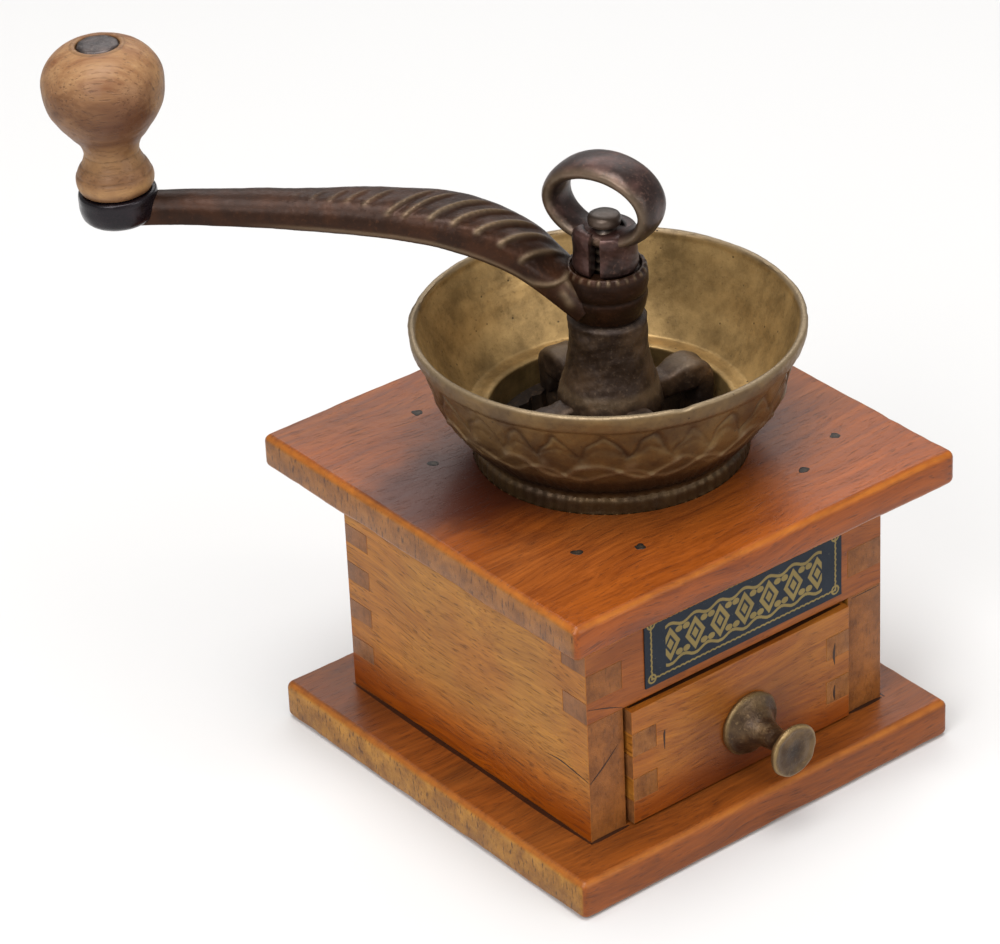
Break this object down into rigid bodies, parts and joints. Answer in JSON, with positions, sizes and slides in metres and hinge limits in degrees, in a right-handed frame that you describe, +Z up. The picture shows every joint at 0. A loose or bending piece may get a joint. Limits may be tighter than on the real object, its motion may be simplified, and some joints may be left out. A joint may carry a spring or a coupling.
{
  "type": "tabletop coffee grinder",
  "caption": "Small wooden box coffee mill with a drawer, an open cast bowl on the lid, a toothed burr mill and a fluted S-shaped crank with a turned wooden knob.",
  "frame": {"origin": "middle of the base board's underside", "axes": "+Z up, the drawer opens along -Y, +X to the right as seen from the drawer side"},
  "size_m": [0.1104, 0.1099, 0.1326],
  "materials": {
    "stained_boards": "clear varnish over brown stain, worn",
    "case_wood": "clear varnish over brown stain, worn",
    "drawer_wood": "clear varnish over brown stain, worn",
    "nail_iron": "dull dark iron",
    "screw_iron": "dull dark iron",
    "label_paper": "navy printed paper, aged, with a gold ornament",
    "bowl_casting": "cast, bronzed, rubbed bright inside",
    "bridge_casting": "cast, dark brown lacquer",
    "burr_casting": "cast, bare, dark",
    "shaft_steel": "dark turned steel",
    "nut_casting": "cast, dark brown lacquer",
    "crank_casting": "cast, dark brown lacquer, worn",
    "rivet_steel": "dull grey, worn",
    "turned_wood": "turned, clear varnish, worn pale",
    "knob_casting": "cast, tarnished grey"
  },
  "bodies": {
    "case": {"base_board": "stained_boards", "top_board": "stained_boards", "left_panel": "case_wood", "right_panel": "case_wood", "back_panel": "case_wood", "front_rail": "case_wood", "paper_label": "label_paper", "top_nail_1": "nail_iron", "top_nail_2": "nail_iron", "top_nail_3": "nail_iron", "top_nail_4": "nail_iron", "top_nail_5": "nail_iron", "top_nail_6": "nail_iron", "top_nail_7": "nail_iron", "top_nail_8": "nail_iron", "base_nail_1": "nail_iron", "base_nail_2": "nail_iron", "base_nail_3": "nail_iron", "base_nail_4": "nail_iron", "base_nail_5": "nail_iron", "base_nail_6": "nail_iron", "hopper_bowl": "bowl_casting", "spindle_bridge": "bridge_casting", "outer_burr": "burr_casting", "bridge_screw_1": "screw_iron", "bridge_screw_2": "screw_iron", "bridge_screw_3": "screw_iron", "bridge_screw_4": "screw_iron"},
    "drawer": {"drawer_front": "drawer_wood", "drawer_left": "drawer_wood", "drawer_right": "drawer_wood", "drawer_back": "drawer_wood", "drawer_bottom": "drawer_wood", "drawer_knob": "knob_casting", "drawer_screw": "screw_iron"},
    "crank": {"crank_arm": "crank_casting", "knob_rivet": "rivet_steel"},
    "knob": {"crank_knob": "turned_wood"},
    "nut": {"ring_nut": "nut_casting"},
    "shaft": {"spindle": "shaft_steel", "grinding_cone": "burr_casting", "cone_pin": "screw_iron"}
  },
  "joints": [
    {"name": "crank_turn", "type": "hinge", "parent": "case", "child": "crank", "pos_m": [0.0006, -0.0008, 0.0826], "axis": [0, 0, 1], "continuous": true},
    {"name": "knob_spin", "type": "hinge", "parent": "crank", "child": "knob", "pos_m": [-0.05829, 0.05335, 0.106], "axis": [-0.0295, 0.0272, 0.9992], "continuous": true},
    {"name": "nut_turn", "type": "hinge", "parent": "crank", "child": "nut", "pos_m": [0.0006, -0.0008, 0.0914], "axis": [0, 0, 1], "range_deg": [-143, 183]},
    {"name": "shaft_lift", "type": "slide", "parent": "crank", "child": "shaft", "axis": [0, 0, 1], "range_m": [-0.0009, 0.0007]},
    {"name": "drawer_slide", "type": "slide", "parent": "case", "child": "drawer", "axis": [0, -1, 0], "range_m": [0, 0.045]}
  ],
  "couplings": [
    {"joint": "nut_turn", "follows": "shaft_lift", "rad_per_m": -3490.7}
  ]
}
